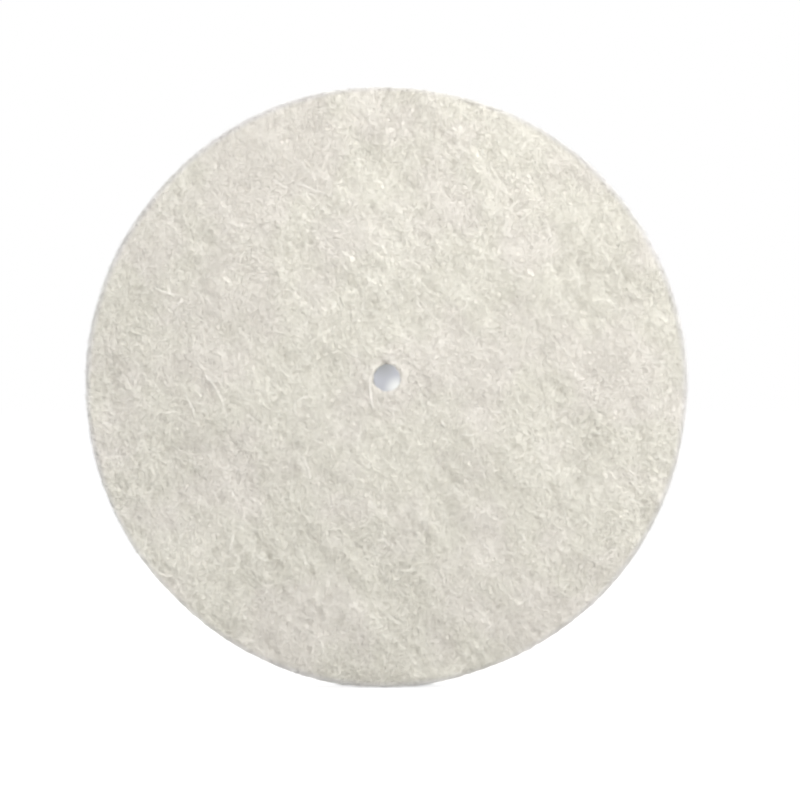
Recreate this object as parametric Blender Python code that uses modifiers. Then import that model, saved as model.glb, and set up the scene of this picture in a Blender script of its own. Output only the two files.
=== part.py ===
"""Felt polishing wheel: one disc of pressed wool felt, die-cut and pierced with a pin hole.

Metres, +Z up. The wheel stands on its rim and spins about the Y axis, front face towards -Y.
The origin is the centre of the disc's outline, halfway through its thickness. The hole was
punched a little off that centre, so it has its own place.
"""
import math

import bpy

# Driving dimensions, in metres
WHEEL_DIAMETER = 0.0254
WHEEL_THICKNESS = 0.0032
EDGE_SOFTNESS = 0.00015
HOLE_DIAMETER = 0.00116
HOLE_X = 0.000025
HOLE_Z = 0.00036
HOLE_CUTTER_OVERRUN = 0.001

# How finely the round shapes are divided
RIM_SIDES = 144
HOLE_SIDES = 32
EDGE_SEGMENTS = 2
SMOOTH_ANGLE = math.radians(30)

# Primitives stand along Z, and the wheel's axis lies along Y
AXIS_ALONG_Y = (math.radians(90), 0.0, 0.0)

# Cream wool felt
FELT_COLOUR = (0.73, 0.70, 0.62, 1.0)
FELT_ROUGHNESS = 0.95


def clear_scene():
    """Remove every object, so that the script starts from nothing."""
    for old in list(bpy.data.objects):
        bpy.data.objects.remove(old, do_unlink=True)


def new_collection(name):
    """Add a collection to the scene."""
    collection = bpy.data.collections.new(name)
    bpy.context.scene.collection.children.link(collection)
    return collection


def add_cylinder(name, collection, diameter, length, sides, place):
    """Add a capped cylinder along the Y axis, with its rotation applied to its mesh."""
    bpy.ops.mesh.primitive_cylinder_add(
        vertices=sides, radius=diameter / 2, depth=length, location=place, rotation=AXIS_ALONG_Y
    )
    bpy.ops.object.transform_apply(location=False, rotation=True, scale=True)
    cylinder = bpy.context.object
    cylinder.name = name
    cylinder.data.name = name
    for holder in list(cylinder.users_collection):
        holder.objects.unlink(cylinder)
    collection.objects.link(cylinder)
    return cylinder


def felt_material():
    """Undyed wool felt: pale cream, matte, not metallic."""
    material = bpy.data.materials.new("wool_felt")
    material.use_nodes = True
    shader = material.node_tree.nodes["Principled BSDF"]
    shader.inputs["Base Color"].default_value = FELT_COLOUR
    shader.inputs["Roughness"].default_value = FELT_ROUGHNESS
    shader.inputs["Metallic"].default_value = 0.0
    return material


def soften_edges(wheel):
    """Round the two rim edges slightly, as a die leaves them."""
    bevel = wheel.modifiers.new("soft_edges", "BEVEL")
    bevel.width = EDGE_SOFTNESS
    bevel.segments = EDGE_SEGMENTS
    bevel.limit_method = "ANGLE"
    bevel.angle_limit = math.radians(60)


def pierce(wheel, cutter):
    """Cut the pin hole right through the wheel."""
    cutter.hide_render = True
    cutter.display_type = "WIRE"
    hole = wheel.modifiers.new("pin_hole", "BOOLEAN")
    hole.operation = "DIFFERENCE"
    hole.solver = "EXACT"
    hole.object = cutter


def build_wheel():
    """Model the felt disc, its soft edges and its pin hole."""
    parts = new_collection("felt_polishing_wheel")
    cutters = new_collection("cutters")
    wheel = add_cylinder(
        "felt_disc", parts, WHEEL_DIAMETER, WHEEL_THICKNESS, RIM_SIDES, (0.0, 0.0, 0.0)
    )
    soften_edges(wheel)
    hole_cutter = add_cylinder(
        "pin_hole_cutter",
        cutters,
        HOLE_DIAMETER,
        WHEEL_THICKNESS + 2 * HOLE_CUTTER_OVERRUN,
        HOLE_SIDES,
        (HOLE_X, 0.0, HOLE_Z),
    )
    pierce(wheel, hole_cutter)
    wheel.data.materials.append(felt_material())
    wheel.data.shade_smooth()
    wheel.data.set_sharp_from_angle(angle=SMOOTH_ANGLE)


clear_scene()
build_wheel()
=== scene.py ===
"""The looks of the felt polishing wheel: matted wool, built as a lumpy felt body under real fibres.

Metres, +Z up, front face towards -Y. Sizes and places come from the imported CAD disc.
"""

import itertools
import math

import bpy
import numpy as np
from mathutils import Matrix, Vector, geometry


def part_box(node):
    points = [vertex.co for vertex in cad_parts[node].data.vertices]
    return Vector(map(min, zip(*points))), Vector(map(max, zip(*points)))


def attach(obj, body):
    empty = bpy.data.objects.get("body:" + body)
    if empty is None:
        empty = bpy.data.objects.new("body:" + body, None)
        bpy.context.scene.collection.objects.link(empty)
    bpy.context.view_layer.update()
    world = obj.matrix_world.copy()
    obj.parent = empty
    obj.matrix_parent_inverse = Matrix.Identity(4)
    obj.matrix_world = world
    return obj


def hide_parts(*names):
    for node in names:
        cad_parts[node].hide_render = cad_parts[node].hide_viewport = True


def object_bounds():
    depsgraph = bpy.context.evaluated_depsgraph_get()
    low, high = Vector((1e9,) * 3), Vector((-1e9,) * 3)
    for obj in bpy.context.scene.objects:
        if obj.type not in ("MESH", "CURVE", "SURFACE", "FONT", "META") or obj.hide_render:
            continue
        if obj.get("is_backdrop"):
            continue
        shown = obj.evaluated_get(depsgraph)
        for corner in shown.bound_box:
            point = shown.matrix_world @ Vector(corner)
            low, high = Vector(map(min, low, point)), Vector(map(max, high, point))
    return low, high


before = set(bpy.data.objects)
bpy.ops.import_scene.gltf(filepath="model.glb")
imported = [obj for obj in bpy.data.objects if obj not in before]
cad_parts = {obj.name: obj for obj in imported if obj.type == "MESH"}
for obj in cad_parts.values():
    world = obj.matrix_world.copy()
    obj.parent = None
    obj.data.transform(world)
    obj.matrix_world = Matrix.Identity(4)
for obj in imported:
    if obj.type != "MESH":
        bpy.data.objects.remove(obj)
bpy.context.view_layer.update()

MM = 0.001
UM = 0.000001
FULL_TURN = 2 * math.pi

# ---------------------------------------------------------------- the CAD disc's own sizes
CAD_NODE = "felt_disc"
BODY = "root"
cad_low, cad_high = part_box(CAD_NODE)
RADIUS = (cad_high.x - cad_low.x) / 2
HALF_THICKNESS = (cad_high.y - cad_low.y) / 2
BORE_SEARCH = 0.3 * RADIUS

# ---------------------------------------------------------------- felt structure
# Direction of the felt's grain in the XZ plane, from +X towards +Z
GRAIN_ANGLE = math.radians(131)
EDGE_ROUND = 0.10 * MM
BORE_EDGE_ROUND = 0.06 * MM
# Distance between the body's corners, and how far each is moved at random, as a share of it
MESH_SPACING = 0.132 * MM
MESH_JITTER = 0.18
# Height of each kind of unevenness, and how closely the matted body follows the last kind
CLOUD_HEIGHT = 0.014 * MM
CLUMP_HEIGHT = 0.013 * MM
MATTING_HEIGHT = 0.030 * MM
MAT_HUG = 0.75
# The cut rim and the hole's wall are smoother and more even in shade than the faces by these factors
WALL_RELIEF = 0.3
WALL_TONE = 0.5
# The matted body lies this far under the outer layer of fibres
MAT_DEPTH = 0.082 * MM
# The die left the outline slightly uneven: lobes round the rim, their height and where the first one lies
OUTLINE_LOBES = (
    (2, 0.020 * MM, math.radians(-12)),
    (3, 0.026 * MM, math.radians(20)),
    (5, 0.022 * MM, math.radians(40)),
    (7, 0.016 * MM, math.radians(5)),
    (17, 0.008 * MM, math.radians(3)),
)

# The same for the hole
BORE_LOBES = (
    (3, 0.010 * MM, math.radians(200)),
    (7, 0.008 * MM, 0.0),
)
# Corners in the body's ring round the hole
BORE_STEPS = 80

# A tear at the top of the hole: a small notch in its edge, and a dent in the front face beside it,
# darkened with painted shade
TEAR_ANGLE = math.radians(95)
NOTCH_WIDTH = math.radians(11)
NOTCH_DEPTH = 0.025 * MM
DENT_FROM_EDGE = 0.08 * MM
DENT_SIZE = 0.12 * MM
DENT_DEPTH = 0.30 * MM
DENT_PAINTED_SHADE = 1.0


def find_bore():
    """Centre and radius of the CAD disc's pin hole, from its own corners."""
    corners = np.array([v.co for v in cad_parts[CAD_NODE].data.vertices])
    flat = corners[:, [0, 2]]
    ring = flat[np.hypot(flat[:, 0], flat[:, 1]) < BORE_SEARCH]
    centre = (ring.min(0) + ring.max(0)) / 2
    return centre, float(np.hypot(*(ring - centre).T).max())


BORE_CENTRE, BORE_RADIUS = find_bore()


def lumps(points, size, seed):
    """Smooth random heights from -1 to 1, in lumps of the given size, at each point."""
    side = 64
    lattice = np.random.default_rng(seed).uniform(-1, 1, (side, side, side))
    place = points / size
    cell = np.floor(place).astype(int)
    part = place - cell
    part = part * part * (3 - 2 * part)
    height = np.zeros(points.shape[:-1])
    for corner in itertools.product((0, 1), repeat=3):
        weight = np.prod(np.where(corner, part, 1 - part), axis=-1)
        i, j, k = np.moveaxis((cell + corner) % side, -1, 0)
        height += weight * lattice[i, j, k]
    return height


def along_grain(points, stretch):
    """Points squeezed along the felt's grain, so that lumps taken there come out longer along it."""
    grain = np.array([math.cos(GRAIN_ANGLE), 0.0, math.sin(GRAIN_ANGLE)])
    return points - (points @ grain)[..., None] * grain * (1 - 1 / stretch)


def clouds(points):
    """The felt's broad unevenness, from -1 to 1."""
    return lumps(along_grain(points, 1.5), 1.9 * MM, 11)


def clumps(points):
    """Where the wool lies thicker or thinner, over about a millimetre, from -1 to 1."""
    return lumps(along_grain(points, 2.8), 0.72 * MM, 12)


def matting(points):
    """How full the wool is: above 0 on a matted strand, and down to about -2 in a pit."""
    strands = lumps(along_grain(points, 4.0), 0.40 * MM, 13)
    tufts = lumps(along_grain(points, 3.0), 0.22 * MM, 14)
    pits = np.maximum(lumps(along_grain(points, 1.6), 0.24 * MM, 15) - 0.28, 0)
    return 0.6 * strands + 0.42 * tufts - 2.4 * pits


def dent(points):
    """How deep in the tear's dent each point lies, from 0 outside it to 1 in its middle."""
    reach = BORE_RADIUS + DENT_FROM_EDGE
    middle = np.array([
        BORE_CENTRE[0] + reach * math.cos(TEAR_ANGLE),
        -HALF_THICKNESS,
        BORE_CENTRE[1] + reach * math.sin(TEAR_ANGLE),
    ])
    return np.exp(-((np.linalg.norm(points - middle, axis=-1) / DENT_SIZE) ** 2))


def relief(points, hug=1.0):
    """How far the wool stands out at each point. hug is how closely it follows the strands and pits."""
    return (
        CLOUD_HEIGHT * clouds(points)
        + CLUMP_HEIGHT * clumps(points)
        + hug * MATTING_HEIGHT * matting(points)
        - DENT_DEPTH * dent(points)
    )


def wool_tone_and_shade(points):
    """How pale the wool looks at each point, about 0.5 on average: painted shade makes it darker where
    the relief is low, in pits, thin places and the tear's dent, over a slow drift of its own tone.
    """
    drift = lumps(along_grain(points, 1.3), 4.6 * MM, 16)
    return (
        0.5
        + 0.195 * matting(points)
        + 0.125 * clumps(points)
        + 0.043 * clouds(points)
        + 0.030 * drift
        - DENT_PAINTED_SHADE * dent(points)
    )


def wall_tone_and_shade(points):
    """The same as wool_tone_and_shade, for the rim and the hole's wall."""
    return 0.5 + WALL_TONE * (wool_tone_and_shade(points) - 0.5)


def uneven_radius(mean, lobes, angle):
    """A radius with lobes round it, at each angle."""
    radius = np.full_like(angle, mean)
    for count, height, first in lobes:
        radius += height * np.cos(count * (angle - first))
    return radius


def outline_radius(angle):
    """Distance from the wheel's centre to its edge, at each angle."""
    return uneven_radius(RADIUS, OUTLINE_LOBES, angle)


def bore_radius(angle):
    """Distance from the hole's centre to its wall, at each angle: uneven, with one torn notch."""
    from_notch = np.angle(np.exp(1j * (angle - TEAR_ANGLE)))
    notch = NOTCH_DEPTH * np.exp(-((from_notch / NOTCH_WIDTH) ** 2))
    return uneven_radius(BORE_RADIUS, BORE_LOBES, angle) + notch


# ---------------------------------------------------------------- felt body
def ring_points(count, radius_at, centre=(0.0, 0.0)):
    """A ring of flat points. radius_at gives their distance from the centre at each angle."""
    angle = np.linspace(0, FULL_TURN, count, endpoint=False)
    return np.stack([np.cos(angle), np.sin(angle)], -1) * radius_at(angle)[:, None] + centre


def lattice_points(rng, spacing):
    """A jittered triangular lattice that covers the whole disc."""
    rows = np.arange(-RADIUS, RADIUS, spacing * math.sqrt(3) / 2)
    columns = np.arange(-RADIUS, RADIUS, spacing)
    z, x = np.meshgrid(rows, columns, indexing="ij")
    x = x + spacing / 2 * (np.arange(len(rows)) % 2)[:, None]
    points = np.stack([x.ravel(), z.ravel()], -1)
    return points + rng.uniform(-1, 1, points.shape) * spacing * MESH_JITTER


def face_mesh(rng, spacing, rim_count, bore_count):
    """Flat points and triangles of one face: first the outer ring, then the hole's, then the rest."""
    outer = ring_points(rim_count, lambda angle: outline_radius(angle) - EDGE_ROUND)
    inner = ring_points(bore_count, lambda angle: bore_radius(angle) + BORE_EDGE_ROUND, BORE_CENTRE)
    inside = lattice_points(rng, spacing)
    angle = np.arctan2(inside[:, 1], inside[:, 0])
    reach = np.hypot(inside[:, 0], inside[:, 1])
    margin = 0.6 * spacing
    kept = (reach < outline_radius(angle) - EDGE_ROUND - margin) & (
        bore_distance(inside) > BORE_EDGE_ROUND + margin
    )
    points = np.concatenate([outer, inner, inside[kept]])
    rings = [(0, rim_count), (rim_count, bore_count)]
    edges = [(first + i, first + (i + 1) % n) for first, n in rings for i in range(n)]
    # Millimetres, because the triangulation merges points closer than a fixed distance
    flat = [Vector(p) for p in (points / MM).tolist()]
    found = geometry.delaunay_2d_cdt(flat, edges, [], 1, 1e-6)
    triangles = np.array(found[2])
    middle = points[triangles].mean(1)
    solid = bore_distance(middle) > 0.5 * BORE_EDGE_ROUND
    return points, triangles[solid]


def edge_profile(round_radius, rows):
    """Steps from the front face over its rounded edge, across, and over the back edge.

    Each step is how far out from the face's ring it lies, its y, and its normal's lean (0 along
    -Y, 90 degrees outwards, 180 along +Y). The two ends, which belong to the faces, are left out.
    """
    turn = np.radians([30, 60, 90])
    front = [(round_radius * math.sin(t), -HALF_THICKNESS + round_radius * (1 - math.cos(t)), t)
             for t in turn]
    straight = np.linspace(-HALF_THICKNESS + round_radius, HALF_THICKNESS - round_radius, rows)
    middle = [(round_radius, y, math.pi / 2) for y in straight[1:-1]]
    back = [(out, -y, math.pi - t) for out, y, t in reversed(front)]
    return np.array(front + middle + back)


def wall(ring, outwards, profile):
    """Points and normals of the rows between two face rings. outwards is each column's unit vector."""
    out, y, lean = profile.T
    flat = ring[None] + outwards[None] * out[:, None, None]
    points = np.stack([flat[..., 0], np.broadcast_to(y[:, None], flat.shape[:2]), flat[..., 1]], -1)
    side = outwards[None] * np.sin(lean)[:, None, None]
    lift = np.broadcast_to(-np.cos(lean)[:, None], flat.shape[:2])
    return points, np.stack([side[..., 0], lift, side[..., 1]], -1)


def wall_quads(front_ring, rows_start, row_count, back_ring, columns):
    """Corners of the quads from the front ring through the wall's rows to the back ring."""
    rows = [front_ring + np.arange(columns)]
    rows += [rows_start + r * columns + np.arange(columns) for r in range(row_count)]
    rows += [back_ring + np.arange(columns)]
    rows = np.array(rows)
    beside = np.roll(rows, -1, axis=1)
    return np.stack([rows[:-1], rows[1:], beside[1:], beside[:-1]], -1)


def strip_uv(rows, columns, low, high):
    """Map coordinates of a wall's quads, laid out as one strip from corner low to corner high."""
    row, column = np.meshgrid(np.arange(rows), np.arange(columns), indexing="ij")
    corner_rows = np.stack([row, row + 1, row + 1, row], -1) / rows
    corner_columns = np.stack([column, column, column + 1, column + 1], -1) / columns
    u = low[0] + corner_columns * (high[0] - low[0])
    v = low[1] + corner_rows * (high[1] - low[1])
    return np.stack([u, v], -1)


def make_mesh(name, points, corner_lists, uv_lists, material):
    """A smooth-shaded mesh object from arrays.

    Each corner list is faces x corners, and has its own list of map coordinates.
    """
    mesh = bpy.data.meshes.new(name)
    sizes = np.concatenate([np.full(len(c), c.shape[1]) for c in corner_lists])
    corners = np.concatenate([c.ravel() for c in corner_lists])
    starts = np.concatenate([[0], np.cumsum(sizes)[:-1]])
    mesh.vertices.add(len(points))
    mesh.vertices.foreach_set("co", points.astype(np.float32).ravel())
    mesh.loops.add(len(corners))
    mesh.loops.foreach_set("vertex_index", corners.astype(np.int32))
    mesh.polygons.add(len(sizes))
    mesh.polygons.foreach_set("loop_start", starts.astype(np.int32))
    layer = mesh.uv_layers.new(name="OFBake")
    uv = np.concatenate([u.reshape(-1, 2) for u in uv_lists])
    layer.data.foreach_set("uv", uv.astype(np.float32).ravel())
    mesh.update(calc_edges=True)
    mesh.shade_smooth()
    mesh.materials.append(material)
    thing = bpy.data.objects.new(name, mesh)
    bpy.context.scene.collection.objects.link(thing)
    return thing


def set_shade(piece, shades):
    """Give each point of a piece its shade, tone and painted shade together, from 0 for the dullest wool
    to 1 for the palest.
    """
    shade = piece.data.attributes.new("shade", "FLOAT", "POINT")
    shade.data.foreach_set("value", np.clip(shades, 0, 1).astype(np.float32))


def felt_body(material):
    """The wheel itself: one closed mesh with lumps, pits, soft edges and the pin hole."""
    rng = np.random.default_rng(1)
    rim_count = int(FULL_TURN * RADIUS / MESH_SPACING)
    flat, triangles = face_mesh(rng, MESH_SPACING, rim_count, BORE_STEPS)
    per_face = len(flat)
    y = np.full(per_face, HALF_THICKNESS)
    front = np.stack([flat[:, 0], -y, flat[:, 1]], -1)
    back = np.stack([flat[:, 0], y, flat[:, 1]], -1)

    wall_rows = int(2 * HALF_THICKNESS / MESH_SPACING)
    rim_ring = flat[:rim_count]
    rim_out = rim_ring / np.hypot(*rim_ring.T)[:, None]
    rim_profile = edge_profile(EDGE_ROUND, wall_rows)
    rim, rim_normals = wall(rim_ring, rim_out, rim_profile)

    bore_ring = flat[rim_count:rim_count + BORE_STEPS]
    bore_out = BORE_CENTRE - bore_ring
    bore_out /= np.hypot(*bore_out.T)[:, None]
    bore_profile = edge_profile(BORE_EDGE_ROUND, wall_rows)
    bore, bore_normals = wall(bore_ring, bore_out, bore_profile)

    down = np.tile([0.0, -1.0, 0.0], (per_face, 1))
    ideal = np.concatenate([front, back, rim.reshape(-1, 3), bore.reshape(-1, 3)])
    normals = np.concatenate([down, -down, rim_normals.reshape(-1, 3), bore_normals.reshape(-1, 3)])
    on_wall = np.arange(len(ideal)) >= 2 * per_face
    height = np.where(on_wall, WALL_RELIEF, 1.0) * relief(ideal, MAT_HUG) - MAT_DEPTH
    points = ideal + normals * height[:, None]

    rim_start = 2 * per_face
    bore_start = rim_start + rim.shape[0] * rim_count
    rim_quads = wall_quads(0, rim_start, rim.shape[0], per_face, rim_count)
    bore_quads = wall_quads(
        rim_count, bore_start, bore.shape[0], per_face + rim_count, BORE_STEPS
    )[..., ::-1]
    # On the map the faces lie side by side, over the rim's strip and the hole's
    reach = 2.1 * RADIUS
    front_uv = flat / reach / 2 + (0.25, 0.75)
    back_uv = flat / reach / 2 + (0.75, 0.75)
    rim_uv = strip_uv(*rim_quads.shape[:2], (0.01, 0.28), (0.99, 0.46))
    bore_uv = strip_uv(*bore_quads.shape[:2], (0.01, 0.04), (0.31, 0.22))[..., ::-1, :]
    piece = make_mesh(
        "felt_body",
        points,
        [
            triangles,
            triangles[:, ::-1] + per_face,
            rim_quads.reshape(-1, 4),
            bore_quads.reshape(-1, 4),
        ],
        [front_uv[triangles], back_uv[triangles[:, ::-1]], rim_uv, bore_uv],
        material,
    )
    set_shade(piece, np.where(on_wall, wall_tone_and_shade(ideal), wool_tone_and_shade(ideal)))
    return piece


# ---------------------------------------------------------------- fibres
# Points along each fibre, and sides round it
STEPS = 10
TUBE_SIDES = 3
# Pressed fibres are lower than wide by this factor
PRESSED = 0.7
# Length of a fibre's waves across the felt, and height of those out of it
CRIMP_MM = (0.5, 1.1)
WAVE_HEIGHT = 6 * UM
# Fibres keep this far from the corner between two surfaces
EDGE_GAP = 0.008 * MM
# Within this distance of a cut edge they dip less, because the die cut them off there
CUT_REACH = 0.30 * MM
# How much thinner the tips are than the middle
TIP_THINNING = 0.55
# Spread of directions about the grain, in radians, and share of loose hairs that arch over
GRAIN_SPREAD = 0.45
ARCHED_SHARE = 0.35
# Spread of the fibres' own shades
OWN_SHADE = 0.03
FIBRES_PER_PIECE = 2500


def curly_paths(rng, lengths, headings, bend, crimp):
    """Flat paths of curly fibres, fibres x STEPS x 2, each with its middle at the origin.

    bend is the spread of a fibre's whole turn, and crimp how far its waves swing, in radians.
    """
    count = len(lengths)
    s = np.linspace(-0.5, 0.5, STEPS)[None]
    turn = rng.normal(0, bend, (count, 1))
    twist = rng.normal(0, bend, (count, 1))
    waves = lengths[:, None] / (rng.uniform(*CRIMP_MM, (count, 1)) * MM)
    phase = rng.uniform(0, FULL_TURN, (count, 1))
    swing = rng.uniform(0.2, 1.0, (count, 1)) * crimp
    heading = headings[:, None] + turn * s + twist * (4 * s * s - 1 / 3) / 2
    heading = heading + swing * np.sin(FULL_TURN * waves * s + phase)
    step = np.stack([np.cos(heading), np.sin(heading)], -1) * (lengths / (STEPS - 1))[:, None, None]
    path = np.cumsum(step, axis=1)
    return path - path[:, STEPS // 2:STEPS // 2 + 1]


def grain_headings(rng, count, share):
    """Directions in the felt's plane: a share of them near the grain, the rest anywhere."""
    anywhere = rng.uniform(0, FULL_TURN, count)
    near = GRAIN_ANGLE + rng.normal(0, GRAIN_SPREAD, count)
    return np.where(rng.uniform(0, 1, count) < share, near, anywhere)


def cut_to(paths, inside):
    """Each path kept to its longest stretch that lies inside and holds its middle, with STEPS points."""
    middle = STEPS // 2
    before = inside[:, middle::-1].cumprod(axis=1).sum(axis=1) - 1
    after = inside[:, middle:].cumprod(axis=1).sum(axis=1) - 1
    first = (middle - before)[:, None]
    last = (middle + after)[:, None]
    at = first + (last - first) * np.linspace(0, 1, STEPS)[None]
    low = np.minimum(at.astype(int), STEPS - 2)
    part = (at - low)[..., None]
    row = np.arange(len(paths))[:, None]
    return paths[row, low] * (1 - part) + paths[row, low + 1] * part


def tube_points(centres, normals, radii):
    """Corners of thin tubes round centre lines, fibres x STEPS x TUBE_SIDES x 3."""
    along = np.gradient(centres, axis=1)
    along /= np.linalg.norm(along, axis=-1, keepdims=True) + 1e-12
    side = np.cross(normals, along)
    side /= np.linalg.norm(side, axis=-1, keepdims=True) + 1e-12
    up = np.cross(along, side)
    angle = math.pi / 2 + FULL_TURN * np.arange(TUBE_SIDES) / TUBE_SIDES
    across = side[..., None, :] * np.cos(angle)[:, None]
    rim = across + PRESSED * up[..., None, :] * np.sin(angle)[:, None]
    return centres[..., None, :] + rim * radii[..., None, None]


def tube_faces(count):
    """Corners of the side quads and of the end caps of that many tubes, and their map coordinates."""
    per_tube = STEPS * TUBE_SIDES
    tube, step, side = np.meshgrid(
        np.arange(count), np.arange(STEPS - 1), np.arange(TUBE_SIDES), indexing="ij"
    )
    beside = (side + 1) % TUBE_SIDES
    base = tube * per_tube + step * TUBE_SIDES
    quads = np.stack(
        [base + side, base + beside, base + TUBE_SIDES + beside, base + TUBE_SIDES + side], -1
    ).reshape(-1, 4)
    start = (np.arange(count) * per_tube)[:, None] + np.arange(TUBE_SIDES)[::-1]
    end = (np.arange(count) * per_tube + per_tube - TUBE_SIDES)[:, None] + np.arange(TUBE_SIDES)
    caps = np.concatenate([start, end])

    # Every fibre has its own small cell of the map
    across = math.ceil(math.sqrt(count))
    cell = 1 / across
    origin = np.stack([np.arange(count) % across, np.arange(count) // across], -1) * cell
    margin = 0.15 * cell
    room = cell - 2 * margin
    u = np.stack([step, step, step + 1, step + 1], -1) / (STEPS - 1)
    v = np.stack([side, side + 1, side + 1, side], -1) / TUBE_SIDES
    quad_uv = origin[tube][..., None, :] + margin + np.stack([u, v], -1) * room
    ends = np.concatenate([origin + margin, origin + margin + (room, 0)])
    cap_uv = np.repeat(ends[:, None], TUBE_SIDES, axis=1)
    return quads, caps, quad_uv, cap_uv


def fibre_pieces(name, centres, normals, radii, shades, material):
    """Closed tube meshes for these fibres, in groups of neighbours that are light enough to handle."""
    pieces = []
    parts = math.ceil(len(centres) / FIBRES_PER_PIECE)
    middles = centres[:, STEPS // 2]
    round_the_wheel = np.argsort(np.arctan2(middles[:, 2], middles[:, 0]))
    for number, chosen in enumerate(np.array_split(round_the_wheel, parts), start=1):
        points = tube_points(centres[chosen], normals[chosen], radii[chosen])
        quads, caps, quad_uv, cap_uv = tube_faces(len(chosen))
        piece = make_mesh(
            f"{name}_{number:02d}",
            points.reshape(-1, 3),
            [quads, caps],
            [quad_uv, cap_uv],
            material,
        )
        set_shade(piece, np.repeat(shades[chosen].ravel(), TUBE_SIDES))
        pieces.append(piece)
    return pieces


def taper(thickness):
    """Radii along each fibre, thinner towards both ends."""
    s = np.linspace(-1, 1, STEPS)
    return thickness[:, None] * (1 - TIP_THINNING * np.abs(s) ** 3)[None]


def rim_distance(flat):
    """How far each flat point lies inside the rim."""
    return outline_radius(np.arctan2(flat[..., 1], flat[..., 0])) - np.linalg.norm(flat, axis=-1)


def bore_distance(flat):
    """How far each flat point lies outside the hole."""
    across = flat - BORE_CENTRE
    return np.linalg.norm(across, axis=-1) - bore_radius(np.arctan2(across[..., 1], across[..., 0]))


def edge_distance(flat):
    """How far each flat point lies from the nearer of the rim and the hole."""
    return np.minimum(rim_distance(flat), bore_distance(flat))


def turned_over(distance, edge_round):
    """How far the surface has dropped away, at this distance from a rounded edge."""
    return edge_round * np.clip(1 - distance / edge_round, 0, 1) ** 2


def lie(rng, heights_um, dips_um, from_edge):
    """Heights of fibres over the felt, fibres x STEPS: highest at their middle, their ends dipping in."""
    count = len(from_edge)
    s = np.linspace(-1, 1, STEPS)[None]
    height = rng.uniform(*heights_um, (count, 1)) * UM
    dip = rng.uniform(*dips_um, (count, 1)) * UM
    phase = rng.uniform(0, FULL_TURN, (count, 1))
    wave = WAVE_HEIGHT * np.sin(rng.uniform(3, 9, (count, 1)) * s + phase)
    uncut = np.clip(from_edge / CUT_REACH, 0, 1)
    return height - dip * np.abs(s) ** 2.5 * uncut + wave


def stand(rng, heights_um, roots_um, from_edge):
    """Heights of loose hairs, fibres x STEPS: from a root in the felt to a free end, or in an arch."""
    count = len(from_edge)
    s = np.linspace(0, 1, STEPS)[None]
    peak = rng.uniform(*heights_um, (count, 1)) * UM
    root = rng.uniform(*roots_um, (count, 1)) * UM
    arched = rng.uniform(0, 1, (count, 1)) < ARCHED_SHARE
    return (peak + root) * np.where(arched, np.sin(math.pi * s), s ** 1.4) - root


def own_shades(rng, count, tone):
    """Each fibre's difference from the wool round it: its layer's tone, painted shade for the deep
    layers, and a random one of its own.
    """
    return tone + rng.normal(0, OWN_SHADE, (count, 1))


def face_fibres(name, side, seed, material, count, lengths_mm, radii_um, heights_um, dips_um,
                hug, tone, rise=lie, bend=0.9, crimp=0.5, grain_share=0.6):
    """Curly fibres on one face, side -1 for the front and 1 for the back."""
    rng = np.random.default_rng(seed)
    angle = rng.uniform(0, FULL_TURN, count)
    reach = np.sqrt(rng.uniform(0, 1, count)) * outline_radius(angle)
    middle = np.stack([np.cos(angle), np.sin(angle)], -1) * reach[:, None]
    lengths = rng.triangular(*lengths_mm, count) * MM
    headings = grain_headings(rng, count, grain_share)
    flat = middle[:, None] + curly_paths(rng, lengths, headings, bend, crimp)
    inside = edge_distance(flat) > EDGE_GAP
    kept = inside[:, STEPS // 2]
    flat = cut_to(flat[kept], inside[kept])
    return laid_on_face(name, side, rng, material, flat, radii_um, heights_um, dips_um, hug, tone, rise)


def edge_fibres(name, side, seed, material, count, edge, lengths_mm, radii_um, heights_um, dips_um,
                hug, tone, turned, gap=EDGE_GAP):
    """Fibres in a band along an edge of one face. edge is its centre, radius, and the band's two offsets.

    turned is how far their directions spread from that of the edge, in radians. They stop where they
    are this gap from the edge: below 0 they stick out over it.
    """
    rng = np.random.default_rng(seed)
    centre, radius_at, offsets_mm = edge
    angle = rng.uniform(0, FULL_TURN, count)
    reach = radius_at(angle) + rng.uniform(*offsets_mm, count) * MM
    middle = centre + np.stack([np.cos(angle), np.sin(angle)], -1) * reach[:, None]
    lengths = rng.triangular(*lengths_mm, count) * MM
    headings = angle + math.pi / 2 + rng.normal(0, turned, count)
    flat = middle[:, None] + curly_paths(rng, lengths, headings, bend=0.8, crimp=0.4)
    inside = edge_distance(flat) > gap
    flat = cut_to(flat, inside)
    return laid_on_face(name, side, rng, material, flat, radii_um, heights_um, dips_um, hug, tone, lie)


def drawn_fibres(name, side, seed, material, strands, copies, spread_um, radii_um, heights_um, dips_um,
                 hug, tone):
    """Small bundles of fibres on one face, each along a curve: its start, a pull and its end in mm."""
    rng = np.random.default_rng(seed)
    curve = np.repeat(np.array(strands) * MM, copies, axis=0)
    curve = curve + rng.normal(0, spread_um * UM, curve.shape)
    s = np.linspace(0, 1, STEPS)[None, :, None]
    start, pull, end = (curve[:, None, i] for i in range(3))
    flat = (1 - s) ** 2 * start + 2 * s * (1 - s) * pull + s ** 2 * end
    return laid_on_face(name, side, rng, material, flat, radii_um, heights_um, dips_um, hug, tone, lie)


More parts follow.
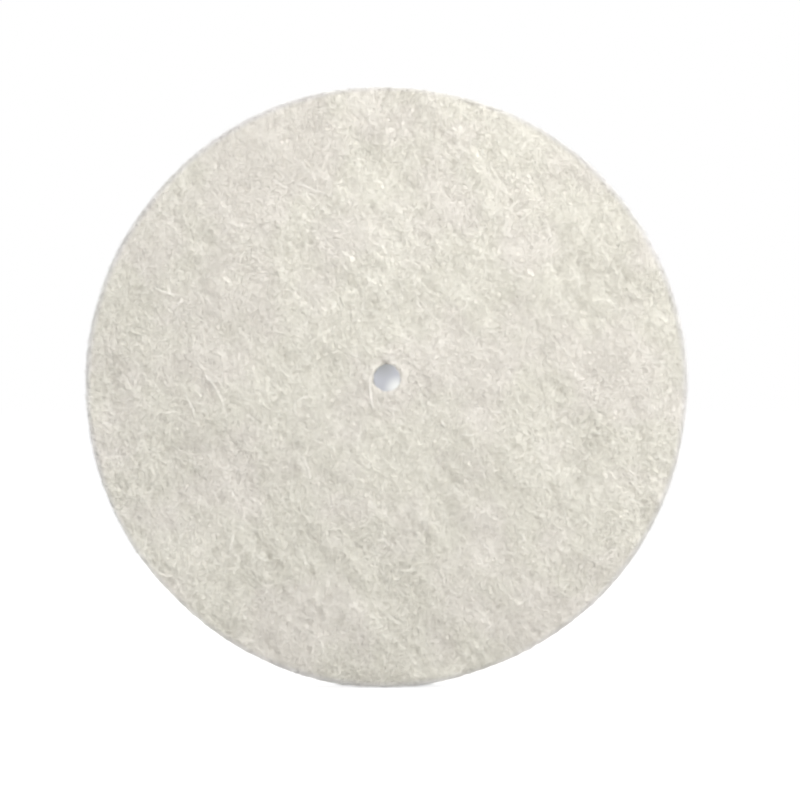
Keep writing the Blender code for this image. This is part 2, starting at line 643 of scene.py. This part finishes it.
def laid_on_face(name, side, rng, material, flat, radii_um, heights_um, dips_um, hug, tone, rise):
    """Fibre pieces from flat paths, laid on one face and following its relief."""
    count = len(flat)
    y = np.full(flat.shape[:2], side * HALF_THICKNESS)
    ideal = np.stack([flat[..., 0], y, flat[..., 1]], -1)
    from_edge = edge_distance(flat)
    above = rise(rng, heights_um, dips_um, from_edge)
    normal = np.zeros_like(ideal)
    normal[..., 1] = side
    drop = turned_over(rim_distance(flat), EDGE_ROUND)
    drop += turned_over(bore_distance(flat), BORE_EDGE_ROUND)
    lift = above + relief(ideal, hug) - drop
    centres = ideal + normal * lift[..., None]
    radii = taper(rng.uniform(*radii_um, count) * UM)
    shades = wool_tone_and_shade(ideal) + own_shades(rng, count, tone)
    return fibre_pieces(name, centres, normal, radii, shades, material)


def wall_fibres(name, radius_at, centre, outwards, seed, material, count, lengths_mm, radii_um,
                heights_um, dips_um, tone, rise=lie, slant=0.4, edge_round=EDGE_ROUND):
    """Fibres pressed round a round wall: the rim (outwards 1) or the hole (outwards -1)."""
    rng = np.random.default_rng(seed)
    lengths = rng.triangular(*lengths_mm, count) * MM
    headings = rng.normal(0, slant, count) + math.pi * rng.integers(0, 2, count)
    path = curly_paths(rng, lengths, headings, bend=0.7, crimp=0.5)
    mean_radius = float(np.mean(radius_at(np.linspace(0, FULL_TURN, 90))))
    angle = rng.uniform(0, FULL_TURN, count)[:, None] + path[..., 0] / mean_radius
    y = rng.uniform(-HALF_THICKNESS, HALF_THICKNESS, count)[:, None] + path[..., 1]
    inside = np.abs(y) < HALF_THICKNESS - EDGE_GAP
    kept = inside[:, STEPS // 2]
    place = cut_to(np.stack([angle, y], -1)[kept], inside[kept])
    angle, y = place[..., 0], place[..., 1]
    count = len(angle)

    radial = np.stack([np.cos(angle), np.zeros_like(angle), np.sin(angle)], -1)
    ideal = np.array([centre[0], 0.0, centre[1]]) + radial * radius_at(angle)[..., None]
    ideal[..., 1] = y
    from_edge = HALF_THICKNESS - np.abs(y)
    above = rise(rng, heights_um, dips_um, from_edge)
    normal = radial * outwards
    lift = above + WALL_RELIEF * relief(ideal) - turned_over(from_edge, edge_round)
    centres = ideal + normal * lift[..., None]
    radii = taper(rng.uniform(*radii_um, count) * UM)
    shades = wall_tone_and_shade(ideal) + own_shades(rng, count, tone)
    return fibre_pieces(name, centres, normal, radii, shades, material)


# ---------------------------------------------------------------- materials
BRIGHT = (0.935, 0.918, 0.866, 1.0)
PALE = (0.921, 0.904, 0.840, 1.0)
DULL = (0.621, 0.602, 0.540, 1.0)
ROSY = (0.80, 0.758, 0.735, 1.0)
# The cut corners between the faces and the rim are this grey, by so much and from so far in: painted
# shade along the rounded edges, and partly the greyer felt of the cut
EDGE_GREY_AND_SHADE = (0.695, 0.698, 0.735, 1.0)
EDGE_SHARE = 0.6
EDGE_ON_FACE = 0.32 * MM
EDGE_ON_RIM = 0.4 * MM
# Small pale and dull grains, and dark specks of painted gap shade: their size and how strongly they show
# in the wool's shade
GRAIN_SIZE = 0.17 * MM
GRAIN_SHADE = 0.68
GAP_SIZE = 0.13 * MM
GAP_SHADE = 0.33
# Fine streaks on the matted body
STREAK_SIZE = 0.09 * MM
STREAK_SHADE = 0.15
STREAK_BUMP = 0.03 * MM
# Faint rosy patches
ROSY_SIZE = 3.2 * MM
ROSY_SHARE = 0.36


def node(tree, kind, **settings):
    """Add a shader node. Settings name its properties, or its inputs by their label."""
    made = tree.nodes.new(kind)
    for key, value in settings.items():
        if hasattr(made, key):
            setattr(made, key, value)
        else:
            made.inputs[key.replace("_", " ").title()].default_value = value
    return made


def join(tree, operation, first, second):
    """One math node on two sockets."""
    made = node(tree, "ShaderNodeMath", operation=operation)
    tree.links.new(first, made.inputs[0])
    tree.links.new(second, made.inputs[1])
    return made.outputs[0]


def add(tree, first, second):
    """The sum of two sockets."""
    return join(tree, "ADD", first, second)


def node_math(tree, operation, first, second, third=None):
    """One math node on a socket and numbers."""
    made = node(tree, "ShaderNodeMath", operation=operation)
    tree.links.new(first, made.inputs[0])
    made.inputs[1].default_value = second
    if third is not None:
        made.inputs[2].default_value = third
    return made.outputs[0]


def noise(tree, coordinates, size, detail=2.0, roughness=0.5):
    """Noise with features of the given size, in metres, from 0 to 1."""
    texture = node(tree, "ShaderNodeTexNoise", scale=1 / size, detail=detail, roughness=roughness)
    tree.links.new(coordinates, texture.inputs["Vector"])
    return texture.outputs["Fac"]


def mix_colour(tree, factor, first, second):
    """Blend two colours, each a value or a socket."""
    mix = node(tree, "ShaderNodeMix", data_type="RGBA")
    tree.links.new(factor, mix.inputs["Factor"])
    for place, colour in (("A", first), ("B", second)):
        socket = next(i for i in mix.inputs if i.name == place and i.type == "RGBA")
        if isinstance(colour, tuple):
            socket.default_value = colour
        else:
            tree.links.new(colour, socket)
    return next(o for o in mix.outputs if o.type == "RGBA")


def spread(tree, factor, low, high):
    """Stretch a factor so that low becomes 0 and high becomes 1, smoothly."""
    ranged = node(tree, "ShaderNodeMapRange", interpolation_type="SMOOTHSTEP")
    ranged.inputs["From Min"].default_value = low
    ranged.inputs["From Max"].default_value = high
    tree.links.new(factor, ranged.inputs["Value"])
    return ranged.outputs["Result"]


def wool_base(name):
    """A material with the wool's sheen, and its tree, shader and object coordinates."""
    material = bpy.data.materials.new(name)
    material.use_nodes = True
    tree = material.node_tree
    shader = tree.nodes["Principled BSDF"]
    shader.inputs["Roughness"].default_value = 0.85
    shader.inputs["Specular IOR Level"].default_value = 0.25
    shader.inputs["Sheen Weight"].default_value = 0.15
    shader.inputs["Sheen Roughness"].default_value = 0.5
    shader.inputs["Sheen Tint"].default_value = (1.0, 0.98, 0.93, 1.0)
    where = node(tree, "ShaderNodeTexCoord").outputs["Object"]
    return material, tree, shader, where


def shade_socket(tree):
    """The shade that the mesh holds for each of its points."""
    return node(tree, "ShaderNodeAttribute", attribute_name="shade").outputs["Fac"]


def mottled(tree, where, shade):
    """The shade made uneven: small pale and dull grains, and darker specks of painted shade where a gap
    between the fibres would lie.
    """
    grains = node_math(tree, "SUBTRACT", noise(tree, where, GRAIN_SIZE, 1.0), 0.5)
    painted_gaps = spread(tree, noise(tree, where, GAP_SIZE, 0.0), 0.60, 0.78)
    uneven = add(tree, shade, node_math(tree, "MULTIPLY", grains, GRAIN_SHADE))
    return add(tree, uneven, node_math(tree, "MULTIPLY", painted_gaps, -GAP_SHADE))


def cut_corners(tree, where):
    """From 0 in the middle of the faces and of the rim to EDGE_SHARE at the corners between them."""
    apart = node(tree, "ShaderNodeSeparateXYZ")
    tree.links.new(where, apart.inputs[0])
    flat = node(tree, "ShaderNodeCombineXYZ")
    tree.links.new(apart.outputs["X"], flat.inputs["X"])
    tree.links.new(apart.outputs["Z"], flat.inputs["Z"])
    reach = node(tree, "ShaderNodeVectorMath", operation="LENGTH")
    tree.links.new(flat.outputs[0], reach.inputs[0])
    outer = spread(tree, reach.outputs["Value"], RADIUS - EDGE_ON_FACE, RADIUS + 0.05 * MM)
    from_middle = node_math(tree, "ABSOLUTE", apart.outputs["Y"], 0.0)
    near_face = spread(tree, from_middle, HALF_THICKNESS - EDGE_ON_RIM, HALF_THICKNESS)
    return node_math(tree, "MULTIPLY", join(tree, "MULTIPLY", outer, near_face), EDGE_SHARE)


def wool_colour(tree, where, shade, dark, light):
    """Wool between two colours by its shade, in broad, faint patches of slightly different hue, greyed
    with painted shade at the cut corners.
    """
    plain_wool = mix_colour(tree, mottled(tree, where, shade), dark, light)
    patches = spread(tree, noise(tree, where, ROSY_SIZE), 0.42, 0.62)
    rosy = node_math(tree, "MULTIPLY", patches, ROSY_SHARE)
    warmed = mix_colour(tree, rosy, plain_wool, ROSY)
    return mix_colour(tree, cut_corners(tree, where), warmed, EDGE_GREY_AND_SHADE)


def felt_material():
    """Matted wool under the fibres: the wool's tone with painted shade in low places, fine streaks along
    the grain, a soft bump.
    """
    material, tree, shader, where = wool_base("wool_felt_body")
    turned = node(tree, "ShaderNodeMapping")
    turned.inputs["Rotation"].default_value = (0.0, GRAIN_ANGLE, 0.0)
    turned.inputs["Scale"].default_value = (0.4, 1.0, 1.0)
    tree.links.new(where, turned.inputs["Vector"])
    streaks = noise(tree, turned.outputs["Vector"], STREAK_SIZE, 3.0, 0.6)
    change = node_math(tree, "MULTIPLY_ADD", streaks, STREAK_SHADE, -STREAK_SHADE / 2)
    shade = add(tree, shade_socket(tree), change)
    tree.links.new(wool_colour(tree, where, shade, DULL, PALE), shader.inputs["Base Color"])
    bump = node(tree, "ShaderNodeBump", strength=0.5, distance=STREAK_BUMP)
    tree.links.new(streaks, bump.inputs["Height"])
    tree.links.new(bump.outputs["Normal"], shader.inputs["Normal"])
    rough = node_math(tree, "MULTIPLY_ADD", streaks, 0.2, 0.72)
    tree.links.new(rough, shader.inputs["Roughness"])
    return material


def fibre_material(name, dark, light):
    """One kind of wool fibre, with its shade between dark and light, painted shade in low places
    included.
    """
    material, tree, shader, where = wool_base(name)
    tree.links.new(wool_colour(tree, where, shade_socket(tree), dark, light), shader.inputs["Base Color"])
    return material


# ---------------------------------------------------------------- stage, light and camera
FLOOR_SIZE = 4.0
FLOOR_COLOUR = (0.90, 0.90, 0.90, 1.0)
# The floor that the camera sees is this grey in the studio's light, plus this much white
FLOOR_SEEN = (0.5, 0.5, 0.5, 1.0)
FLOOR_LIFT = 0.92
# The same in the middle of the wheel's painted shade on the floor. The painted shade comes up and fades
# out between these distances behind the front face. The last value is the square of its half width for
# each metre behind the face
SHADE_LIFT = 0.15
SHADE_START = (1.0 * MM, 2.4 * MM)
SHADE_END = (3.0 * MM, 15.0 * MM)
SHADE_WIDENING = 2.0 * MM

# The card behind the hole: its place and size, and the colours it glows in, with painted shade and a
# painted lit spot
CARD_Y = HALF_THICKNESS - 0.1 * MM
CARD_RADIUS = 1.4 * BORE_RADIUS
CARD_LIT = (0.93, 0.94, 0.92, 1.0)
CARD_SHADED = (0.555, 0.565, 0.605, 1.0)
CARD_DIM = (0.40, 0.405, 0.405, 1.0)
# Its painted lit spot and painted dim spot: where each lies from the hole's centre, where it fades out
# and where it is full, all in hole radii
LIT_SPOT = ((0.80, -0.80), 1.20, 0.25)
DIM_SPOT = ((-0.35, 1.2), 1.5, 0.1)
# How much light the glowing card, which is no lamp, throws into the hole for each unit that the camera
# sees
CARD_LIGHT = 1.5

WHITE = (1.0, 1.0, 1.0)
COOL = (0.94, 0.965, 1.0)
WARM = (1.0, 0.985, 0.955)
WORLD_SEEN = 1.0
WORLD_LIGHT = 0.28
# Square soft lights turned to the wheel's centre: place and side in mm, power in watts, colour
LIGHTS = {
    "key": ((18, -44, 35), 60, 0.0478, WARM),
    "front_fill": ((0, -170, 10), 100, 0.030, WHITE),
    "left_fill": ((-95, 25, 70), 70, 0.066, WHITE),
    "right_fill": ((95, 25, 70), 70, 0.050, WHITE),
    "back_fill": ((-30, 85, 55), 60, 0.084, WHITE),
}

CAMERA_DISTANCE = 150 * MM
CAMERA_LENS = 160
CAMERA_SENSOR = 36
# The lens is stopped down and focused behind the wheel, which draws the face as softly as in the photo
CAMERA_FOCUS = 167 * MM
CAMERA_STOP = 142
CAMERA_ASIDE = 0.575 * MM
CAMERA_BELOW = 0.579 * MM


def make_matte(shader, colour):
    """Turn a Principled shader matte, in this colour."""
    shader.inputs["Base Color"].default_value = colour
    shader.inputs["Specular IOR Level"].default_value = 0.0


def painted_floor_shade(tree):
    """How deep in the wheel's painted shade each point of the floor lies, from 0 outside it to 1 in its
    middle.

    The painted shade starts under the wheel and widens behind it, just so far that the wheel hides it
    from the front.
    """
    apart = node(tree, "ShaderNodeSeparateXYZ")
    tree.links.new(node(tree, "ShaderNodeNewGeometry").outputs["Position"], apart.inputs[0])
    behind = node_math(tree, "ADD", apart.outputs["Y"], HALF_THICKNESS)
    aside = join(tree, "MULTIPLY", apart.outputs["X"], apart.outputs["X"])
    # Kept above 0 in front of the wheel too, because the next line divides by it
    room = node_math(tree, "MULTIPLY", node_math(tree, "MAXIMUM", behind, 0.01 * MM), SHADE_WIDENING)
    middle = spread(tree, join(tree, "DIVIDE", aside, room), 1.0, 0.1)
    under = spread(tree, behind, *SHADE_START)
    near = spread(tree, behind, *reversed(SHADE_END))
    return join(tree, "MULTIPLY", join(tree, "MULTIPLY", middle, under), near)


def floor_material():
    """Pale floor that the camera sees lifted to white, but for a soft painted shade of the wheel close
    behind it.
    """
    material = bpy.data.materials.new("floor")
    material.use_nodes = True
    tree = material.node_tree
    plain_floor = tree.nodes["Principled BSDF"]
    plain_floor.inputs["Roughness"].default_value = 0.9
    make_matte(plain_floor, FLOOR_COLOUR)
    seen = node(tree, "ShaderNodeBsdfPrincipled", roughness=1.0)
    make_matte(seen, FLOOR_SEEN)
    seen.inputs["Emission Color"].default_value = (*WHITE, 1.0)
    lift = node_math(tree, "MULTIPLY_ADD", painted_floor_shade(tree), SHADE_LIFT - FLOOR_LIFT, FLOOR_LIFT)
    tree.links.new(lift, seen.inputs["Emission Strength"])
    ray = node(tree, "ShaderNodeLightPath")
    choose = node(tree, "ShaderNodeMixShader")
    tree.links.new(ray.outputs["Is Camera Ray"], choose.inputs["Fac"])
    tree.links.new(plain_floor.outputs[0], choose.inputs[1])
    tree.links.new(seen.outputs[0], choose.inputs[2])
    tree.links.new(choose.outputs[0], tree.nodes["Material Output"].inputs["Surface"])
    return material


def lay_floor(height):
    """The studio's floor, at this height."""
    bpy.ops.mesh.primitive_plane_add(size=FLOOR_SIZE, location=(0.0, 0.0, height))
    plane = bpy.context.object
    plane.name = "floor"
    plane.data.materials.append(floor_material())
    plane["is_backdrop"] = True


def area_light(name, location, size, power, colour):
    """A square soft light turned to the wheel's centre."""
    lamp = bpy.data.lights.new(name, "AREA")
    lamp.shape = "SQUARE"
    lamp.size = size
    lamp.energy = power
    lamp.color = colour
    holder = bpy.data.objects.new(name, lamp)
    holder.visible_camera = False
    holder.location = location
    holder.rotation_mode = "QUATERNION"
    holder.rotation_quaternion = (-location).to_track_quat("-Z", "Y")
    bpy.context.scene.collection.objects.link(holder)


def studio_world():
    """A surround that the camera sees white and that lights the wheel with a little cool light."""
    world = bpy.data.worlds.new("studio")
    bpy.context.scene.world = world
    world.use_nodes = True
    tree = world.node_tree
    tree.nodes.clear()
    backdrop = node(tree, "ShaderNodeBackground", strength=WORLD_SEEN)
    fill = node(tree, "ShaderNodeBackground", strength=WORLD_LIGHT)
    backdrop.inputs["Color"].default_value = (*WHITE, 1.0)
    fill.inputs["Color"].default_value = (*COOL, 1.0)
    choose = node(tree, "ShaderNodeMixShader")
    ray = node(tree, "ShaderNodeLightPath")
    output = node(tree, "ShaderNodeOutputWorld")
    tree.links.new(ray.outputs["Is Camera Ray"], choose.inputs["Fac"])
    tree.links.new(fill.outputs[0], choose.inputs[1])
    tree.links.new(backdrop.outputs[0], choose.inputs[2])
    tree.links.new(choose.outputs[0], output.inputs["Surface"])


def closeness(tree, where, spot):
    """How near each point of the card is to one of its spots, from 0 to 1."""
    (aside, up), far, near = spot
    apart = node(tree, "ShaderNodeVectorMath", operation="DISTANCE")
    apart.inputs[1].default_value = (
        BORE_CENTRE[0] + aside * BORE_RADIUS,
        CARD_Y,
        BORE_CENTRE[1] + up * BORE_RADIUS,
    )
    tree.links.new(where.outputs["Position"], apart.inputs[0])
    return spread(tree, apart.outputs["Value"], far * BORE_RADIUS, near * BORE_RADIUS)


def hole_card():
    """A small card that closes the hole at the back face, seen from the front only.

    It stands for the pale ground that the wheel lies on. It glows in painted colours: painted shade of
    the felt, and a painted lit spot along its lower right edge, where light would come through the hole.
    From behind it isn't there.
    """
    material = bpy.data.materials.new("hole_card")
    material.use_nodes = True
    tree = material.node_tree
    tree.nodes.clear()
    where = node(tree, "ShaderNodeNewGeometry")
    shaded = mix_colour(tree, closeness(tree, where, DIM_SPOT), CARD_SHADED, CARD_DIM)
    colour = mix_colour(tree, closeness(tree, where, LIT_SPOT), shaded, CARD_LIT)
    glow = node(tree, "ShaderNodeEmission")
    tree.links.new(colour, glow.inputs["Color"])
    ray = node(tree, "ShaderNodeLightPath")
    strength = node_math(
        tree, "MULTIPLY_ADD", ray.outputs["Is Camera Ray"], 1.0 - CARD_LIGHT, CARD_LIGHT
    )
    tree.links.new(strength, glow.inputs["Strength"])
    clear = node(tree, "ShaderNodeBsdfTransparent")
    choose = node(tree, "ShaderNodeMixShader")
    output = node(tree, "ShaderNodeOutputMaterial")
    tree.links.new(where.outputs["Backfacing"], choose.inputs["Fac"])
    tree.links.new(glow.outputs[0], choose.inputs[1])
    tree.links.new(clear.outputs[0], choose.inputs[2])
    tree.links.new(choose.outputs[0], output.inputs["Surface"])
    bpy.ops.mesh.primitive_circle_add(
        radius=CARD_RADIUS,
        fill_type="NGON",
        location=(BORE_CENTRE[0], CARD_Y, BORE_CENTRE[1]),
        rotation=(math.radians(90), 0.0, 0.0),
    )
    card = bpy.context.object
    card.name = "hole_card"
    card.data.materials.append(material)
    card.visible_shadow = False
    card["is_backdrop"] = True


def main_camera():
    """A long lens square on to the front face."""
    data = bpy.data.cameras.new("camera")
    data.sensor_width = CAMERA_SENSOR
    data.lens = CAMERA_LENS
    data.clip_start = 1 * MM
    data.clip_end = 10.0
    data.dof.use_dof = True
    data.dof.focus_distance = CAMERA_FOCUS
    data.dof.aperture_fstop = CAMERA_STOP
    camera = bpy.data.objects.new("camera", data)
    camera.location = (CAMERA_ASIDE, -HALF_THICKNESS - CAMERA_DISTANCE, -CAMERA_BELOW)
    camera.rotation_euler = (math.radians(90), 0.0, 0.0)
    bpy.context.scene.collection.objects.link(camera)
    bpy.context.scene.camera = camera


# ---------------------------------------------------------------- build
body = felt_body(felt_material())
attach(body, BODY)
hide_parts(CAD_NODE)

plain = fibre_material("wool_fibre", DULL, PALE)
bright = fibre_material("wool_fibre_bright", PALE, BRIGHT)

# Bands along the faces' two edges: centre, radius, and how far out from the edge a band lies, in mm
HOLE_EDGE = (BORE_CENTRE, bore_radius, (0.03, 0.24))
RIM_EDGE = ((0.0, 0.0), outline_radius, (-0.50, -0.02))

# Pale strands that stand out on the front face: start, pull and end, each x and z in mm
STRANDS = (
    ((-0.66, 0.72), (-0.80, -0.30), (-0.50, -1.02)),
    ((-7.75, 0.52), (-7.10, 0.05), (-6.82, -1.00)),
    ((-8.51, -0.33), (-8.26, -0.75), (-8.09, -1.17)),
    ((-9.78, 4.15), (-9.25, 3.90), (-8.68, 3.82)),
    ((-9.02, 3.22), (-8.82, 3.42), (-8.59, 3.65)),
    ((3.74, -0.79), (4.30, -1.20), (5.01, -1.04)),
    ((3.11, -2.02), (3.80, -2.20), (4.25, -1.72)),
    ((5.43, -6.07), (6.10, -6.42), (5.60, -6.60)),
    ((4.00, -6.58), (4.21, -6.75), (4.38, -7.00)),
    ((2.31, -1.42), (2.37, -1.58), (2.48, -1.72)),
    ((-3.99, 8.63), (-3.14, 8.36), (-2.30, 8.00)),
    ((-4.83, 8.72), (-4.42, 8.48), (-4.07, 8.29)),
    ((-3.27, -0.41), (-4.25, -0.60), (-3.65, -1.42)),
    ((-3.60, -2.95), (-3.30, -3.20), (-3.20, -3.90)),
    ((-6.45, -6.25), (-6.50, -6.60), (-6.62, -7.00)),
    ((-5.45, -7.20), (-5.10, -7.38), (-4.80, -7.35)),
    ((-5.87, -1.20), (-5.70, -1.28), (-5.60, -1.45)),
)

fibres = []
# In the deep layers a tone below 0 is painted shade, for lying under the other fibres
for side_name, side, seed in (("front", -1, 100), ("back", 1, 200)):
    fibres += face_fibres(
        f"{side_name}_deep", side, seed, plain, 5000,
        (0.8, 1.6, 3.4), (24, 36), (-60, -38), (0, 20), hug=1.0, tone=-0.06,
    )
    fibres += face_fibres(
        f"{side_name}_middle", side, seed + 1, plain, 8000,
        (0.6, 1.3, 2.8), (15, 25), (-42, -14), (5, 40), hug=0.95, tone=0.0,
    )
    fibres += face_fibres(
        f"{side_name}_top", side, seed + 2, plain, 7500,
        (0.5, 1.1, 2.6), (12, 20), (-18, 10), (20, 60), hug=0.8, tone=0.0,
    )
    fibres += face_fibres(
        f"{side_name}_strands", side, seed + 6, bright, 340,
        (0.3, 0.6, 1.7), (15, 23), (0, 20), (30, 60), hug=0.75, tone=-0.1, bend=1.9, crimp=0.3,
    )
    fibres += face_fibres(
        f"{side_name}_curls", side, seed + 3, bright, 480,
        (0.4, 0.8, 2.2), (11, 18), (-4, 20), (30, 80), hug=0.65, tone=-0.25, bend=1.6, crimp=0.7,
    )
    fibres += face_fibres(
        f"{side_name}_flecks", side, seed + 8, bright, 900,
        (0.16, 0.3, 0.6), (15, 22), (-8, 12), (15, 35), hug=0.8, tone=-0.25, bend=1.0, crimp=0.3,
    )
    fibres += face_fibres(
        f"{side_name}_fuzz", side, seed + 4, plain, 1700,
        (0.3, 0.8, 1.7), (9, 13), (50, 260), (30, 50), hug=0.5, tone=0.1, rise=stand,
        bend=1.4, crimp=0.5, grain_share=0.2,
    )
    fibres += edge_fibres(
        f"{side_name}_hole_edge", side, seed + 5, plain, 170, HOLE_EDGE,
        (0.25, 0.5, 1.1), (12, 20), (-30, 5), (10, 40), hug=0.8, tone=0.0, turned=0.5,
    )
    fibres += edge_fibres(
        f"{side_name}_hole_fringe", side, seed + 9, plain, 70, HOLE_EDGE,
        (0.15, 0.3, 0.5), (9, 14), (-30, 0), (0, 20), hug=0.8, tone=0.1, turned=1.2, gap=-0.04 * MM,
    )
    fibres += edge_fibres(
        f"{side_name}_rim_edge", side, seed + 7, plain, 1500, RIM_EDGE,
        (0.4, 0.9, 2.2), (13, 22), (-34, 4), (10, 50), hug=0.9, tone=0.0, turned=1.2,
    )
fibres += drawn_fibres(
    "front_drawn", -1, 110, bright, STRANDS, 3, 20,
    (16, 22), (42, 56), (25, 45), hug=0.75, tone=0.45,
)
# The rim's deep layer has painted shade in its tone too, for lying under the other fibres
fibres += wall_fibres(
    "rim_deep", outline_radius, (0.0, 0.0), 1, 300, plain, 4000,
    (0.4, 0.9, 2.2), (24, 36), (-66, -46), (0, 20), tone=-0.05,
)
fibres += wall_fibres(
    "rim_middle", outline_radius, (0.0, 0.0), 1, 303, plain, 6000,
    (0.3, 0.7, 1.8), (14, 24), (-50, -22), (5, 40), tone=0.0, slant=0.5,
)
fibres += wall_fibres(
    "rim_top", outline_radius, (0.0, 0.0), 1, 301, plain, 9000,
    (0.2, 0.5, 1.5), (10, 17), (-34, -8), (10, 50), tone=0.0, slant=0.7,
)
fibres += wall_fibres(
    "rim_fuzz", outline_radius, (0.0, 0.0), 1, 302, plain, 1200,
    (0.15, 0.4, 0.9), (8, 12), (10, 70), (20, 40), tone=0.1, rise=stand, slant=1.2,
)
fibres += wall_fibres(
    "hole_fibres", bore_radius, BORE_CENTRE, -1, 400, plain, 500,
    (0.2, 0.5, 1.0), (12, 20), (-45, -8), (20, 60), tone=0.25, edge_round=BORE_EDGE_ROUND,
)
for piece in fibres:
    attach(piece, BODY)

lay_floor(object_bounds()[0].z)
hole_card()
studio_world()
for light_name, (place, side_length, power, colour) in LIGHTS.items():
    area_light(light_name, Vector(place) * MM, side_length * MM, power, colour)
main_camera()
bpy.context.scene.view_settings.view_transform = "Standard"
